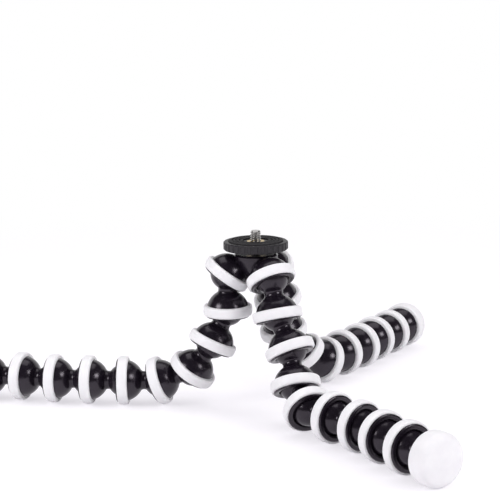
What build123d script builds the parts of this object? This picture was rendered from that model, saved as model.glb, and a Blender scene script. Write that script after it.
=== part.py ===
from build123d import *
import os
from math import asin, cos, degrees, radians, sin, sqrt

os.makedirs("parts", exist_ok=True)

# Camera stand with three bendable legs. Each leg is a chain of ball-and-socket links.
# Millimetres, +Z up. The origin is on the axis of the camera stud, on the face that
# the camera sits on. The legs stand as posed: down from the hub, then flat on the floor.

# Stand
seat_height = 100.0
hub_drop = 20.0
hub_reach = 17.0
hub_tilt = 36.0

# Ball and socket of every link
ball_radius = 9.9
ball_clearance = 0.1
socket_radius = ball_radius + ball_clearance
pitch = 21.5
ball_flat = 8.1
ball_flat_radius = sqrt(ball_radius**2 - ball_flat**2)

# Neck, a smooth curve. It leaves the ball and joins the bell at these angles off the axis.
neck_from = 38.0
neck_to = 30.0
neck_pull = 1.2

# Bell round the socket, measured from the socket's centre towards the mouth
bell_radius = 12.6
bell_shift = 0.8
throat_height = 2.8
throat_radius = sqrt(socket_radius**2 - throat_height**2)
lip_radius = 13.0
lip_edge = 0.3
lip_pull = 4.6

# Soft ring on the bell
ring_radius = 14.5
ring_edge_radius = 14.2
ring_back = 2.8
ring_front = 3.3
ring_round = 1.2
seat_radius = sqrt(bell_radius**2 - (ring_back + bell_shift) ** 2)

# Foot at the end of each leg
spigot_end = 5.2
spigot_round = 2.4
sole_end = 9.2
sole_crown = 1.4
sole_round = 4.5

# Hub
hub_top = -8.0
hub_top_radius = 12.0
hub_waist_radius = 13.0
hub_waist_high = -9.0
hub_waist_low = -11.0
hub_belly_radius = 9.0
hub_belly_height = -20.0
hub_nose = -25.5

# Camera stud, 1/4 inch, moulded into the hub
stud_radius = 3.175
stud_rise = 5.5
stud_tip = 0.6
relief_radius = 2.6
relief_low = -0.9
relief_high = -0.3
stud_hex = 10.0
stud_hex_low = -15.6
stud_hex_high = -12.0

# Lock wheel, threaded on the stud, with a soft pad on top
wheel_radius = 19.0
wheel_high = -0.8
wheel_low = -5.6
wheel_bevel = 0.6
wheel_rim = 2.2
wheel_web = 2.4
wheel_boss = 2.0
wheel_rib = 1.6
wheel_rib_count = 6
grip_count = 30
grip_radius = 1.25
grip_depth = 0.7
insert_radius = 5.2
insert_flange = 6.4
insert_flange_high = wheel_low + 1.0
thread_clearance = 0.05
pad_radius = 16.0
pad_hole = 7.4
pad_thickness = 1.6
pad_clearance = 0.3
pad_edge = 0.5
pad_grooves = (9.6, 11.7, 13.8)
pad_groove_width = 0.8
pad_groove_depth = 0.5

# Leg pose. Headings run anticlockwise from +X, slopes are degrees below level.
# The first three links step down, the fourth reaches the floor, the rest lie flat.
legs = {
    "left": (180, (180, 192, 165, 171, 178, 172, 169, 163, 172), (90, 64, 54)),
    "front": (-60, (-61, -53, -76, -71, -53, -52, -60, -59, -59), (71, 59, 57)),
    "rear": (60, (57, 54, 31, 46, 55, 54, 60, 56, 60), (68, 74, 51)),
}
link_count = 8
flat_drop = seat_height - hub_drop - ring_radius


def direction(heading, slope):
    """Unit vector with this heading, leaning down by slope degrees."""
    level = cos(radians(slope))
    return Vector(
        level * cos(radians(heading)), level * sin(radians(heading)), -sin(radians(slope))
    )


def along(origin, way):
    """Plane whose Z axis runs along way, with its X axis level."""
    side = Vector(0, 0, 1).cross(way)
    if side.length < 0.01:
        side = Vector(1, 0, 0)
    return Plane(origin=origin, x_dir=side, z_dir=way)


def socket_plane(heading):
    """Plane on a hub socket's centre, Z out through its mouth."""
    out = direction(heading, 0)
    centre = out * hub_reach - Vector(0, 0, hub_drop)
    return along(centre, direction(heading, 90 - hub_tilt))


def at_angle(centre, radius, angle):
    """Point of a circle on the leg's axis, this many degrees off the axis."""
    return Vector(radius * sin(radians(angle)), centre + radius * cos(radians(angle)))


def ball_and_neck():
    """Draws the ball on the origin, flat at its end, and the neck up to the bell."""
    Line((0, -ball_flat), (ball_flat_radius, -ball_flat))
    flat_angle = degrees(asin(ball_flat / ball_radius))
    CenterArc((0, 0), ball_radius, -flat_angle, flat_angle + 90 - neck_from)
    start = at_angle(0, ball_radius, neck_from)
    end = at_angle(pitch + bell_shift, bell_radius, 180 - neck_to)
    inward = Vector(-cos(radians(neck_from)), sin(radians(neck_from)))
    outward = Vector(cos(radians(neck_to)), sin(radians(neck_to)))
    Bezier(start, start + inward * neck_pull, end - outward * neck_pull, end)


def bell_wall(centre, first):
    """Draws the bell's round wall, from this angle off the axis to the ring's seat."""
    last = degrees(asin((ring_back + bell_shift) / bell_radius))
    CenterArc((0, centre + bell_shift), bell_radius, first - 90, 90 - first - last)


def seat_and_lip(centre):
    """Draws the ring's seat, the flange in front of it and the rolled lip."""
    edge = centre + ring_front + lip_edge
    Polyline(
        (seat_radius, centre - ring_back),
        (seat_radius, centre + ring_front),
        (lip_radius, centre + ring_front),
        (lip_radius, edge),
    )
    Bezier(
        (lip_radius, edge),
        (lip_radius, centre + lip_pull),
        (throat_radius, centre + lip_pull),
        (throat_radius, centre + throat_height),
    )


def socket_wall(centre):
    """Draws the ball's cavity from the throat to the leg's axis."""
    throat = degrees(asin(throat_height / socket_radius))
    CenterArc((0, centre), socket_radius, -90, 90 + throat)


def spigot(centre):
    """Draws the closed end of the foot, which the sole fits over."""
    side = centre + spigot_end - spigot_round
    Line((seat_radius, centre - ring_back), (seat_radius, side))
    CenterArc((seat_radius - spigot_round, side), spigot_round, 0, 90)
    Line((seat_radius - spigot_round, centre + spigot_end), (0, centre + spigot_end))


# One link, one ring, one foot and one sole, all standing on the origin with the
# ball's centre there and the leg running up +Z
with BuildPart() as link_shape:
    with BuildSketch(Plane.XZ):
        with BuildLine():
            ball_and_neck()
            bell_wall(pitch, neck_to)
            seat_and_lip(pitch)
            socket_wall(pitch)
            Line((0, pitch - socket_radius), (0, -ball_flat))
        make_face()
    revolve(axis=Axis.Z)

with BuildPart() as ring_shape:
    with BuildSketch(Plane.XZ) as ring_section:
        with BuildLine():
            Polyline(
                (ring_edge_radius, -ring_back),
                (seat_radius, -ring_back),
                (seat_radius, ring_front),
                (ring_edge_radius, ring_front),
            )
            ThreePointArc(
                (ring_edge_radius, ring_front),
                (ring_radius, (ring_front - ring_back) / 2),
                (ring_edge_radius, -ring_back),
            )
        make_face()
        corners = ring_section.vertices().filter_by(
            lambda v: abs(v.X - ring_edge_radius) < 0.001
        )
        fillet(corners, radius=ring_round)
    revolve(axis=Axis.Z)

with BuildPart() as foot_shape:
    with BuildSketch(Plane.XZ):
        with BuildLine():
            ball_and_neck()
            bell_wall(pitch, neck_to)
            spigot(pitch)
            Line((0, pitch + spigot_end), (0, -ball_flat))
        make_face()
    revolve(axis=Axis.Z)

# The sole's end is part of a ball centred on the leg's axis
sole_radius = (ring_edge_radius**2 + sole_crown**2) / (2 * sole_crown)
half_rise = sqrt(sole_radius**2 - (ring_edge_radius / 2) ** 2)
with BuildPart() as sole_shape:
    with BuildSketch(Plane.XZ) as sole_section:
        with BuildLine():
            Line((0, pitch + sole_end), (0, pitch + spigot_end))
            spigot(pitch)
            Line((seat_radius, pitch - ring_back), (ring_edge_radius, pitch - ring_back))
            ThreePointArc(
                (ring_edge_radius, pitch - ring_back),
                (ring_radius, pitch + (sole_end - sole_crown - ring_back) / 2),
                (ring_edge_radius, pitch + sole_end - sole_crown),
            )
            ThreePointArc(
                (ring_edge_radius, pitch + sole_end - sole_crown),
                (ring_edge_radius / 2, pitch + sole_end - sole_radius + half_rise),
                (0, pitch + sole_end),
            )
        make_face()
        back = sole_section.vertices().filter_by(
            lambda v: abs(v.X - ring_edge_radius) < 0.001 and v.Y < pitch
        )
        fillet(back, radius=ring_round)
        front = sole_section.vertices().filter_by(
            lambda v: abs(v.X - ring_edge_radius) < 0.001 and v.Y > pitch
        )
        fillet(front, radius=sole_round)
    revolve(axis=Axis.Z)

# Bell and cavity of the hub's sockets, socket centre on the origin, mouth up
with BuildPart() as bell_shape:
    with BuildSketch(Plane.XZ):
        with BuildLine():
            bell_wall(0, 0)
            seat_and_lip(0)
            Polyline(
                (throat_radius, throat_height),
                (0, throat_height),
                (0, bell_shift - bell_radius),
            )
        make_face()
    revolve(axis=Axis.Z)

with BuildPart() as hollow_shape:
    with BuildSketch(Plane.XZ):
        with BuildLine():
            socket_wall(0)
            Polyline(
                (throat_radius, throat_height),
                (throat_radius, lip_pull),
                (0, lip_pull),
                (0, -socket_radius),
            )
        make_face()
    revolve(axis=Axis.Z)

# Camera stud: a plain blank for the thread, a hexagon that the hub grips, a chamfered tip,
# and a relief between the camera's stretch of thread and the lock wheel's
with BuildPart() as camera_stud:
    with BuildSketch(Plane.XY.offset(stud_hex_low)):
        RegularPolygon(stud_hex / 2, 6, major_radius=False)
    extrude(amount=stud_hex_high - stud_hex_low)
    with BuildSketch(Plane.XY.offset(stud_hex_high)):
        Circle(stud_radius)
    extrude(amount=stud_rise - stud_hex_high)
    chamfer(camera_stud.edges().sort_by(Axis.Z)[-1], length=stud_tip)
    with BuildSketch(Plane.XY.offset(relief_low)):
        Circle(stud_radius)
        Circle(relief_radius, mode=Mode.SUBTRACT)
    extrude(amount=relief_high - relief_low, mode=Mode.SUBTRACT)
camera_stud.part.label = "camera_stud"
export_step(camera_stud.part, "parts/camera_stud.step")

# Hub: three bells round a core, with the stud moulded in
hub_places = [socket_plane(legs[side][0]) for side in legs]
with BuildPart() as hub_body:
    with BuildSketch(Plane.XZ):
        with BuildLine():
            Polyline(
                (0, hub_nose),
                (0, hub_top),
                (hub_top_radius, hub_top),
                (hub_waist_radius, hub_waist_high),
                (hub_waist_radius, hub_waist_low),
            )
            ThreePointArc(
                (hub_waist_radius, hub_waist_low),
                (hub_belly_radius, hub_belly_height),
                (0, hub_nose),
            )
        make_face()
    revolve(axis=Axis.Z)
    with Locations(*hub_places):
        add(bell_shape.part)
    with Locations(*hub_places):
        add(hollow_shape.part, mode=Mode.SUBTRACT)
    add(camera_stud.part, mode=Mode.SUBTRACT)
hub_body.part.label = "hub_body"
export_step(hub_body.part, "parts/hub_body.step")

with BuildPart() as hub_rings:
    with Locations(*hub_places):
        add(ring_shape.part)
hub_rings.part.label = "hub_rings"
export_step(hub_rings.part, "parts/hub_rings.step")

# Lock wheel: a scalloped rim, ribs underneath, and a boss round the threaded insert
recess_floor = -pad_thickness
with BuildPart() as lock_wheel:
    with BuildSketch(Plane.XY.offset(wheel_low)):
        Circle(wheel_radius)
    extrude(amount=wheel_high - wheel_low)
    chamfer(lock_wheel.edges().filter_by(GeomType.CIRCLE), length=wheel_bevel)
    with BuildSketch(Plane.XY.offset(wheel_low)):
        with PolarLocations(wheel_radius + grip_radius - grip_depth, grip_count):
            Circle(grip_radius)
    extrude(amount=wheel_high - wheel_low, mode=Mode.SUBTRACT)
    with BuildSketch(Plane.XY.offset(recess_floor)):
        Circle(pad_radius + pad_clearance)
        Circle(pad_hole - pad_clearance, mode=Mode.SUBTRACT)
    extrude(amount=wheel_high - recess_floor, mode=Mode.SUBTRACT)
    with BuildSketch(Plane.XY.offset(wheel_low)):
        Circle(wheel_radius - wheel_rim)
        Circle(insert_flange + wheel_boss, mode=Mode.SUBTRACT)
        with PolarLocations(0, wheel_rib_count):
            Rectangle(
                wheel_radius, wheel_rib, align=(Align.MIN, Align.CENTER), mode=Mode.SUBTRACT
            )
    extrude(amount=recess_floor - wheel_web - wheel_low, mode=Mode.SUBTRACT)
    with BuildSketch(Plane.XY.offset(wheel_low)):
        Circle(insert_radius)
    extrude(amount=wheel_high - wheel_low, mode=Mode.SUBTRACT)
    with BuildSketch(Plane.XY.offset(wheel_low)):
        Circle(insert_flange)
    extrude(amount=insert_flange_high - wheel_low, mode=Mode.SUBTRACT)
lock_wheel.part.label = "lock_wheel"
export_step(lock_wheel.part, "parts/lock_wheel.step")

# Threaded insert pressed into the wheel from below; its bore runs on the stud
with BuildPart() as wheel_insert:
    with BuildSketch(Plane.XY.offset(wheel_low)):
        Circle(insert_flange)
    extrude(amount=insert_flange_high - wheel_low)
    with BuildSketch(Plane.XY.offset(wheel_low)):
        Circle(insert_radius)
    extrude(amount=wheel_high - wheel_low)
    with BuildSketch(Plane.XY.offset(wheel_low)):
        Circle(stud_radius + thread_clearance)
    extrude(amount=wheel_high - wheel_low, mode=Mode.SUBTRACT)
wheel_insert.part.label = "wheel_insert"
export_step(wheel_insert.part, "parts/wheel_insert.step")

# Soft pad: a loose washer with round grooves, lying in the wheel's recess
with BuildPart() as seat_pad:
    with BuildSketch(Plane.XZ) as pad_section:
        with Locations(((pad_hole + pad_radius) / 2, -pad_thickness / 2)):
            Rectangle(pad_radius - pad_hole, pad_thickness)
        fillet(pad_section.vertices().group_by(Axis.Y)[-1], radius=pad_edge)
        with Locations(*[(radius, 0) for radius in pad_grooves]):
            Rectangle(pad_groove_width, 2 * pad_groove_depth, mode=Mode.SUBTRACT)
    revolve(axis=Axis.Z)
seat_pad.part.label = "seat_pad"
export_step(seat_pad.part, "parts/seat_pad.step")

# Legs: eight links with their rings, then the foot in its sole
for side, (hub_heading, headings, slopes) in legs.items():
    centre = socket_plane(hub_heading).origin
    drop = pitch * sum(sin(radians(slope)) for slope in slopes)
    reach_slope = degrees(asin((flat_drop - drop) / pitch))
    steps = list(slopes) + [reach_slope] + [0] * (len(headings) - len(slopes) - 1)
    for number, (heading, slope) in enumerate(zip(headings, steps), start=1):
        way = direction(heading, slope)
        place = along(centre, way)
        centre = centre + way * pitch
        if number <= link_count:
            name, body, rim = f"{side}_link_{number}", link_shape, ring_shape
            rim_name, rim_place = f"{side}_ring_{number}", along(centre, way)
        else:
            name, body, rim = f"{side}_foot", foot_shape, sole_shape
            rim_name, rim_place = f"{side}_foot_sole", place
        with BuildPart() as link:
            with Locations(place):
                add(body.part)
        link.part.label = name
        export_step(link.part, f"parts/{name}.step")
        with BuildPart() as ring:
            with Locations(rim_place):
                add(rim.part)
        ring.part.label = rim_name
        export_step(ring.part, f"parts/{rim_name}.step")
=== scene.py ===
import bmesh
import bpy
from math import cos, floor, pi, radians, sin
from mathutils import Matrix, Vector


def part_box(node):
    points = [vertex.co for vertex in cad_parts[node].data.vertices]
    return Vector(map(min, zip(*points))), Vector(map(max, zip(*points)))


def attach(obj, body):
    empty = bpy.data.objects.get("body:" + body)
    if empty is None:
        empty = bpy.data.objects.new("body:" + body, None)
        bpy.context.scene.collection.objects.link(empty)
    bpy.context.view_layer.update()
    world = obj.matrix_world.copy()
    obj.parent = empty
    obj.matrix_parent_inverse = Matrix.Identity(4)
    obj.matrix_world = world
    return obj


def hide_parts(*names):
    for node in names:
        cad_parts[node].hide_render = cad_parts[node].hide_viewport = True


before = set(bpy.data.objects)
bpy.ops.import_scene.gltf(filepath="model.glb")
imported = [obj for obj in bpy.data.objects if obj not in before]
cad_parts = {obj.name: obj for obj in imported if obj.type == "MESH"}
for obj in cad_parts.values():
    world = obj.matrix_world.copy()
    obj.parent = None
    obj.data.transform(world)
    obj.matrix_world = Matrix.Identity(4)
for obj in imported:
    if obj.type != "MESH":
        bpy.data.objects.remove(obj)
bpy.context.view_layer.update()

# Looks of a camera stand with three bendable legs. Metres, +Z up, origin on the axis of
# the camera screw at the face that the camera sits on.
MM = 0.001
WHITE = (1, 1, 1, 1)

# Camera: place in the part's frame and the angles that the photograph was taken at
CAMERA_PLACE = Vector((-3.4, -877.4, 157.7)) * MM
CAMERA_PITCH = radians(10.58)
CAMERA_ROLL = radians(-0.82)
FRAME_PIXELS = 500
FOCAL_PIXELS = 1521
SENSOR_WIDTH = 36.0
CLIP_NEAR = 0.02
CLIP_FAR = 60.0

# Stage. The floor lies just under the lowest piece. The camera sees its shade at a part of
# its real strength, lifted by a glow, and plain white from FLOOR_FAR on.
FLOOR_GAP = 0.05 * MM
FLOOR_HEIGHT = min(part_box(name)[0].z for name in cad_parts) - FLOOR_GAP
FLOOR_HALF = 12.0
FLOOR_COLOUR = (0.93, 0.92, 0.94, 1)
FLOOR_GLOW = (0.97, 0.945, 1.0, 1)
FLOOR_SHADE = 0.5
FLOOR_LIFT = 0.64
FLOOR_NEAR = 0.35
FLOOR_FAR = 0.75
BACKDROP_COLOUR = (0.8, 0.8, 0.8, 1)
BACKDROP_DISTANCE = 2.2
BACKDROP_HEIGHT = 1.6
BACKDROP_HALF = 4.0

# Softboxes: degrees right of the camera, degrees up, width, height and watts. The room's
# even light is weaker to the shiny plastic, which shows the softboxes instead.
SOFTBOXES = {
    "left_softbox": (-58, 27, 0.38, 0.30, 2.9),
    "right_softbox": (58, 27, 0.38, 0.30, 2.9),
    "top_softbox": (180, 78, 0.9, 0.7, 2.6),
}
BOX_DISTANCE = 0.95
STAND_MIDDLE = Vector((0, 0, FLOOR_HEIGHT / 2))
ROOM_COLOUR = (1.0, 0.99, 1.0, 1)
ROOM_LIGHT = 0.57
ROOM_GLOSS = 0.06

# Colours of the materials, each mottled between a darker and a lighter one by noise, whose
# values lie mostly between these two
NOISE_LOW = 0.3
NOISE_HIGH = 0.7
LINK_COLOURS = ((0.0088, 0.0062, 0.0108, 1), (0.0125, 0.0090, 0.0150, 1))
RING_COLOURS = ((0.85, 0.835, 0.87, 1), (0.90, 0.888, 0.915, 1))
WHEEL_COLOURS = ((0.0110, 0.0085, 0.0125, 1), (0.0180, 0.0145, 0.0200, 1))
PAD_COLOURS = ((0.013, 0.011, 0.014, 1), (0.024, 0.021, 0.025, 1))
BRASS_COLOURS = ((0.62, 0.45, 0.20, 1), (0.78, 0.60, 0.30, 1))
STEEL_COLOURS = ((0.50, 0.49, 0.48, 1), (0.62, 0.61, 0.60, 1))

# Camera screw, 1/4 inch with 20 threads to the inch, on the hexagon that the hub grips. Away
# from the crest the groove deepens by FLANK_SLOPE times its full depth in one pitch, less
# CREST_SHARE of it, which leaves the crest flat.
SCREW_RADIUS = 3.175 * MM
SCREW_PITCH = 1.27 * MM
SCREW_DEPTH = 0.72 * MM
FLANK_SLOPE = 2.6
CREST_SHARE = 0.15
STUD_LOW, STUD_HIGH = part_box("camera_stud")
SCREW_TOP = STUD_HIGH.z
SCREW_TIP = 0.75 * MM
SCREW_LOW = -12.0 * MM
SCREW_COLUMNS = 72
ROWS_PER_TURN = 20
HEX_WIDTH = 10.0 * MM
HEX_LOW = STUD_LOW.z
HEX_SIDES = 6
SHARP_ANGLE = radians(35)


def new_material(name):
    """An empty node material and its node tree."""
    material = bpy.data.materials.new(name)
    material.use_nodes = True
    tree = material.node_tree
    tree.nodes.clear()
    return material, tree


def add(tree, kind, inputs=None, **settings):
    """Adds a node, sets its properties, and sets or links its inputs."""
    node = tree.nodes.new(kind)
    for key, value in settings.items():
        setattr(node, key, value)
    for key, value in (inputs or {}).items():
        if isinstance(value, bpy.types.NodeSocket):
            tree.links.new(value, node.inputs[key])
        else:
            node.inputs[key].default_value = value
    return node


def noise(tree, scale, detail=3.0, rough=0.55):
    """Noise over the part's own frame, with scale in features per metre."""
    place = add(tree, "ShaderNodeTexCoord").outputs["Object"]
    settings = {"Vector": place, "Scale": scale, "Detail": detail, "Roughness": rough}
    return add(tree, "ShaderNodeTexNoise", settings).outputs["Fac"]


def spread(tree, signal, low, high):
    """Maps the noise's usual values to a number between low and high."""
    settings = {
        "Value": signal,
        "From Min": NOISE_LOW,
        "From Max": NOISE_HIGH,
        "To Min": low,
        "To Max": high,
    }
    return add(tree, "ShaderNodeMapRange", settings).outputs["Result"]


def mottled(tree, signal, colours):
    """Mixes the darker and the lighter colour by the noise."""
    mixer = add(tree, "ShaderNodeMix", data_type="RGBA")
    tree.links.new(spread(tree, signal, low=0.0, high=1.0), mixer.inputs[0])
    mixer.inputs[6].default_value, mixer.inputs[7].default_value = colours
    return mixer.outputs[2]


def bump(tree, height, distance, strength, normal=None):
    """Raises the surface by the height signal times distance."""
    settings = {"Height": height, "Distance": distance, "Strength": strength}
    if normal is not None:
        settings["Normal"] = normal
    return add(tree, "ShaderNodeBump", settings).outputs["Normal"]


def finish_material(tree, inputs):
    """Adds the surface shader with these inputs and links it to the output."""
    shader = add(tree, "ShaderNodeBsdfPrincipled", inputs)
    add(tree, "ShaderNodeOutputMaterial", {"Surface": shader.outputs["BSDF"]})


def polished_plastic():
    """Black moulded plastic of the links: a polished skin with faint flow marks."""
    material, tree = new_material("link_plastic")
    flow = noise(tree, scale=90.0, detail=2.0)
    grime = noise(tree, scale=420.0, detail=4.0)
    grain = noise(tree, scale=5200.0, detail=2.0)
    skin = spread(tree, flow, low=0.17, high=0.23)
    touched = spread(tree, grime, low=-0.01, high=0.05)
    rough = add(tree, "ShaderNodeMath", {0: skin, 1: touched}, operation="ADD")
    wavy = bump(tree, flow, distance=0.05 * MM, strength=0.35)
    finish_material(
        tree,
        {
            "Base Color": mottled(tree, grime, LINK_COLOURS),
            "Roughness": rough.outputs[0],
            "IOR": 1.5,
            "Specular Tint": (0.98, 0.90, 1.0, 1),
            "Normal": bump(tree, grain, distance=0.004 * MM, strength=0.6, normal=wavy),
        },
    )
    return material


def soft_rubber():
    """White rubber of the rings and soles: matt, a little uneven, and faintly cool."""
    material, tree = new_material("ring_rubber")
    patch = noise(tree, scale=140.0, detail=3.0)
    grain = noise(tree, scale=7000.0, detail=2.0)
    finish_material(
        tree,
        {
            "Base Color": mottled(tree, patch, RING_COLOURS),
            "Roughness": spread(tree, patch, low=0.42, high=0.55),
            "IOR": 1.45,
            "Subsurface Weight": 0.4,
            "Subsurface Radius": (1.0, 0.92, 0.95),
            "Subsurface Scale": 2.0 * MM,
            "Normal": bump(tree, grain, distance=0.008 * MM, strength=0.5),
        },
    )
    return material


def textured_plastic():
    """Black plastic of the lock wheel, with a fine spark-eroded grain."""
    material, tree = new_material("wheel_plastic")
    grain = noise(tree, scale=3200.0, detail=5.0, rough=0.7)
    broad = noise(tree, scale=200.0)
    finish_material(
        tree,
        {
            "Base Color": mottled(tree, broad, WHEEL_COLOURS),
            "Roughness": spread(tree, grain, low=0.38, high=0.52),
            "IOR": 1.5,
            "Normal": bump(tree, grain, distance=0.03 * MM, strength=0.7),
        },
    )
    return material


def pad_rubber():
    """Black rubber of the seat pad, dull and fine-grained."""
    material, tree = new_material("seat_rubber")
    grain = noise(tree, scale=2600.0, detail=6.0, rough=0.65)
    finish_material(
        tree,
        {
            "Base Color": mottled(tree, grain, PAD_COLOURS),
            "Roughness": spread(tree, grain, low=0.62, high=0.8),
            "IOR": 1.5,
            "Normal": bump(tree, grain, distance=0.03 * MM, strength=0.8),
        },
    )
    return material


def turned_metal(name, colours, rough):
    """Turned metal: fine rings round the screw's axis, with slight tarnish."""
    material, tree = new_material(name)
    place = add(tree, "ShaderNodeTexCoord").outputs["Object"]
    stretched = add(tree, "ShaderNodeMapping", {"Vector": place, "Scale": (0.15, 0.15, 9.0)})
    settings = {"Vector": stretched.outputs["Vector"], "Scale": 2600.0, "Detail": 3.0}
    rings = add(tree, "ShaderNodeTexNoise", settings).outputs["Fac"]
    tarnish = noise(tree, scale=500.0, detail=4.0)
    finish_material(
        tree,
        {
            "Base Color": mottled(tree, tarnish, colours),
            "Metallic": 1.0,
            "Roughness": spread(tree, rings, low=rough - 0.07, high=rough + 0.07),
            "Normal": bump(tree, rings, distance=0.01 * MM, strength=0.5),
        },
    )
    return material


def dress(name, material):
    """Gives a node of the frame its material."""
    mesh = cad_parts[name].data
    mesh.materials.clear()
    mesh.materials.append(material)


def thread_depth(turns):
    """Depth of the thread's groove, 0 at the crest and 1 at the root, along its pitch."""
    from_crest = 0.5 - abs(turns - floor(turns) - 0.5)
    return min(1.0, max(0.0, from_crest * FLANK_SLOPE - CREST_SHARE))


def screw_row(shape, height):
    """One row of the thread's points, each column a little further along the helix."""
    bevel = SCREW_RADIUS - max(0.0, height - (SCREW_TOP - SCREW_TIP))
    row = []
    for column in range(SCREW_COLUMNS):
        angle = 2 * pi * column / SCREW_COLUMNS
        groove = thread_depth(height / SCREW_PITCH - column / SCREW_COLUMNS)
        radius = min(SCREW_RADIUS - SCREW_DEPTH * groove, bevel)
        row.append(shape.verts.new((radius * cos(angle), radius * sin(angle), height)))
    return row


def hexagon_row(shape, height):
    """The corners of the hexagon at one height."""
    across = HEX_WIDTH / 2 / cos(pi / HEX_SIDES)
    angles = [2 * pi * corner / HEX_SIDES for corner in range(HEX_SIDES)]
    return [shape.verts.new((across * cos(a), across * sin(a), height)) for a in angles]


def closed_stack(shape, rows):
    """Walls between the rows, lowest first, and a flat face at each end."""
    for lower, upper in zip(rows, rows[1:]):
        for column in range(len(lower)):
            after = (column + 1) % len(lower)
            shape.faces.new((lower[column], lower[after], upper[after], upper[column]))
    shape.faces.new(rows[-1])
    shape.faces.new(list(reversed(rows[0])))


def camera_screw(material):
    """The screw's helical thread with a bevelled tip, on the hexagon that the hub grips."""
    length = SCREW_TOP - SCREW_LOW
    steps = round(length / SCREW_PITCH * ROWS_PER_TURN)
    shape = bmesh.new()
    heights = [SCREW_LOW + length * step / steps for step in range(steps + 1)]
    closed_stack(shape, [screw_row(shape, height) for height in heights])
    closed_stack(shape, [hexagon_row(shape, height) for height in (HEX_LOW, SCREW_LOW)])
    mesh = bpy.data.meshes.new("camera_screw")
    shape.to_mesh(mesh)
    shape.free()
    mesh.shade_smooth()
    mesh.set_sharp_from_angle(angle=SHARP_ANGLE)
    mesh.materials.append(material)
    screw = bpy.data.objects.new("camera_screw", mesh)
    bpy.context.scene.collection.objects.link(screw)
    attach(screw, "hub")
    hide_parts("camera_stud")


def seen_rays(tree):
    """1 for rays from the camera or off a shiny or clear surface, otherwise 0."""
    path = add(tree, "ShaderNodeLightPath").outputs
    shiny = {0: path["Is Camera Ray"], 1: path["Is Glossy Ray"]}
    first = add(tree, "ShaderNodeMath", shiny, operation="MAXIMUM")
    clear = {0: first.outputs[0], 1: path["Is Transmission Ray"]}
    return add(tree, "ShaderNodeMath", clear, operation="MAXIMUM").outputs[0]


def floor_material():
    """White floor that keeps the shadows near the stand and fades to plain white beyond."""
    material, tree = new_material("stage_floor")
    place = add(tree, "ShaderNodeTexCoord").outputs["Object"]
    distance = add(tree, "ShaderNodeVectorMath", {0: place}, operation="LENGTH")
    fade = {"Value": distance.outputs["Value"], "From Min": FLOOR_NEAR, "From Max": FLOOR_FAR}
    away = add(tree, "ShaderNodeMapRange", fade, interpolation_type="SMOOTHSTEP")
    seen = seen_rays(tree)
    matt = add(tree, "ShaderNodeBsdfDiffuse", {"Color": FLOOR_COLOUR})
    pale = add(tree, "ShaderNodeMath", {0: seen, 1: 1.0 - FLOOR_SHADE}, operation="MULTIPLY")
    shade = add(tree, "ShaderNodeMixShader", {0: pale.outputs[0], 1: matt.outputs["BSDF"]})
    lift = add(tree, "ShaderNodeMath", {0: seen, 1: FLOOR_LIFT}, operation="MULTIPLY")
    glow = add(tree, "ShaderNodeEmission", {"Color": FLOOR_GLOW, "Strength": lift.outputs[0]})
    near = add(tree, "ShaderNodeAddShader", {0: shade.outputs[0], 1: glow.outputs["Emission"]})
    share = {0: away.outputs["Result"], 1: seen}
    far_share = add(tree, "ShaderNodeMath", share, operation="MULTIPLY").outputs[0]
    far = add(tree, "ShaderNodeEmission", {"Strength": 1.0}).outputs["Emission"]
    mixed = add(tree, "ShaderNodeMixShader", {0: far_share, 1: near.outputs[0], 2: far})
    add(tree, "ShaderNodeOutputMaterial", {"Surface": mixed.outputs[0]})
    return material


def backdrop_material():
    """White wall, shown at full white and only softly bright to the light it gives."""
    material, tree = new_material("stage_backdrop")
    seen = seen_rays(tree)
    matt = add(tree, "ShaderNodeBsdfDiffuse", {"Color": BACKDROP_COLOUR}).outputs["BSDF"]
    glow = add(tree, "ShaderNodeEmission", {"Strength": 1.0}).outputs["Emission"]
    mixed = add(tree, "ShaderNodeMixShader", {0: seen, 1: matt, 2: glow})
    add(tree, "ShaderNodeOutputMaterial", {"Surface": mixed.outputs[0]})
    return material


def stage_sheet(name, corners, material):
    """A flat stage piece with four corners."""
    mesh = bpy.data.meshes.new(name)
    mesh.from_pydata(corners, [], [(0, 1, 2, 3)])
    mesh.materials.append(material)
    sheet = bpy.data.objects.new(name, mesh)
    bpy.context.scene.collection.objects.link(sheet)
    return sheet


def drop_with(pieces):
    """Nodes that lower a stage piece by as much as the pieces' boxes reach below rest."""
    group = bpy.data.node_groups.new("stage_height", "GeometryNodeTree")
    for way in ("INPUT", "OUTPUT"):
        group.interface.new_socket("Geometry", in_out=way, socket_type="NodeSocketGeometry")
    sheet = add(group, "NodeGroupInput").outputs["Geometry"]
    stand = add(
        group, "GeometryNodeCollectionInfo", {"Collection": pieces}, transform_space="RELATIVE"
    )
    boxes = add(group, "GeometryNodeBoundBox", {"Geometry": stand.outputs["Instances"]})
    parted = {"Geometry": boxes.outputs["Bounding Box"]}
    corners = add(group, "GeometryNodeRealizeInstances", parted).outputs["Geometry"]
    place = add(group, "GeometryNodeInputPosition").outputs["Position"]
    height = add(group, "ShaderNodeSeparateXYZ", {"Vector": place}).outputs["Z"]
    measure = add(group, "GeometryNodeAttributeStatistic", data_type="FLOAT")
    asked = next(port for port in measure.inputs if port.name == "Attribute" and port.enabled)
    lowest = next(port for port in measure.outputs if port.name == "Min" and port.enabled)
    group.links.new(corners, measure.inputs["Geometry"])
    group.links.new(height, asked)
    sole = {0: lowest, 1: FLOOR_HEIGHT + FLOOR_GAP}
    below = add(group, "ShaderNodeMath", sole, operation="SUBTRACT").outputs[0]
    drop = add(group, "ShaderNodeMath", {0: below, 1: 0.0}, operation="MINIMUM").outputs[0]
    shift = add(group, "ShaderNodeCombineXYZ", {"Z": drop}).outputs["Vector"]
    moved = add(group, "GeometryNodeTransform", {"Geometry": sheet, "Translation": shift})
    add(group, "NodeGroupOutput", {"Geometry": moved.outputs["Geometry"]})
    return group


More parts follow.
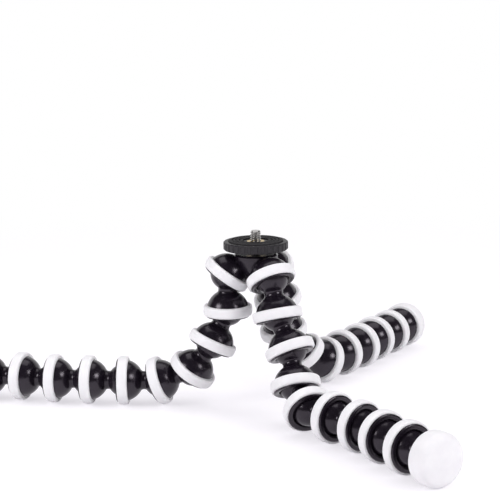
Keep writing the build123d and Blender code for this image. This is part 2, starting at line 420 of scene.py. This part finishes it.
def make_stage():
    """Floor under the stand and a wall far behind it, which both go down with a bent leg."""
    side, low = FLOOR_HALF, FLOOR_HEIGHT
    corners = [(-side, -side, low), (side, -side, low), (side, side, low), (-side, side, low)]
    ground = stage_sheet("stage_floor", corners, floor_material())
    side, back, top = BACKDROP_HALF, BACKDROP_DISTANCE, BACKDROP_HEIGHT
    wall = [(-side, back, low), (side, back, low), (side, back, top), (-side, back, top)]
    backdrop = stage_sheet("stage_backdrop", wall, backdrop_material())
    stand = bpy.data.collections.new("stand")  # lists the pieces, and shows nothing itself
    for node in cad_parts.values():
        stand.objects.link(node)
    group = drop_with(stand)
    for sheet in (ground, backdrop):
        sheet.modifiers.new("stage_height", "NODES").node_group = group


def make_world():
    """White to the camera, dark to the shiny plastic, and an even low light otherwise."""
    world = bpy.data.worlds.new("room")
    bpy.context.scene.world = world
    world.use_nodes = True
    tree = world.node_tree
    tree.nodes.clear()
    path = add(tree, "ShaderNodeLightPath").outputs
    shown = add(tree, "ShaderNodeBackground", {"Color": WHITE, "Strength": 1.0})
    levels = {"Value": path["Is Glossy Ray"], "To Min": ROOM_LIGHT, "To Max": ROOM_GLOSS}
    level = add(tree, "ShaderNodeMapRange", levels).outputs["Result"]
    room = add(tree, "ShaderNodeBackground", {"Color": ROOM_COLOUR, "Strength": level})
    sides = {0: path["Is Camera Ray"], 1: room.outputs[0], 2: shown.outputs[0]}
    mixed = add(tree, "ShaderNodeMixShader", sides)
    add(tree, "ShaderNodeOutputWorld", {"Surface": mixed.outputs[0]})


def softbox(name, side, rise, width, height, power):
    """A rectangular soft light, side degrees right of the camera and rise degrees up."""
    light = bpy.data.lights.new(name, "AREA")
    light.shape = "RECTANGLE"
    light.size = width
    light.size_y = height
    light.energy = power
    level = cos(radians(rise))
    way = Vector((level * sin(radians(side)), -level * cos(radians(side)), sin(radians(rise))))
    lamp = bpy.data.objects.new(name, light)
    lamp.location = STAND_MIDDLE + way * BOX_DISTANCE
    lamp.rotation_euler = (-way).to_track_quat("-Z", "Y").to_euler()
    lamp.visible_camera = False
    bpy.context.scene.collection.objects.link(lamp)


def make_camera():
    """The camera, at the photograph's place and angle."""
    ahead = Vector((0, cos(CAMERA_PITCH), -sin(CAMERA_PITCH)))
    up = Vector((0, sin(CAMERA_PITCH), cos(CAMERA_PITCH)))
    right = Vector((1, 0, 0))
    turn_right = right * cos(CAMERA_ROLL) + up * sin(CAMERA_ROLL)
    turn_up = up * cos(CAMERA_ROLL) - right * sin(CAMERA_ROLL)
    data = bpy.data.cameras.new("photo_camera")
    data.sensor_fit = "HORIZONTAL"
    data.sensor_width = SENSOR_WIDTH
    data.lens = FOCAL_PIXELS / FRAME_PIXELS * SENSOR_WIDTH
    data.clip_start = CLIP_NEAR
    data.clip_end = CLIP_FAR
    camera = bpy.data.objects.new("photo_camera", data)
    axes = Matrix((turn_right, turn_up, -ahead)).transposed()
    camera.matrix_world = Matrix.Translation(CAMERA_PLACE) @ axes.to_4x4()
    bpy.context.scene.collection.objects.link(camera)
    bpy.context.scene.camera = camera


make_camera()
make_stage()
make_world()
for name, values in SOFTBOXES.items():
    softbox(name, *values)
bpy.context.scene.view_settings.view_transform = "Standard"

plastic = polished_plastic()
rubber = soft_rubber()
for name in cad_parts:
    if "ring" in name or name.endswith("_sole"):
        dress(name, rubber)
    elif "link" in name or name.endswith("_foot") or name == "hub_body":
        dress(name, plastic)
dress("lock_wheel", textured_plastic())
dress("seat_pad", pad_rubber())
dress("wheel_insert", turned_metal("brass", BRASS_COLOURS, rough=0.28))
camera_screw(turned_metal("screw_steel", STEEL_COLOURS, rough=0.3))
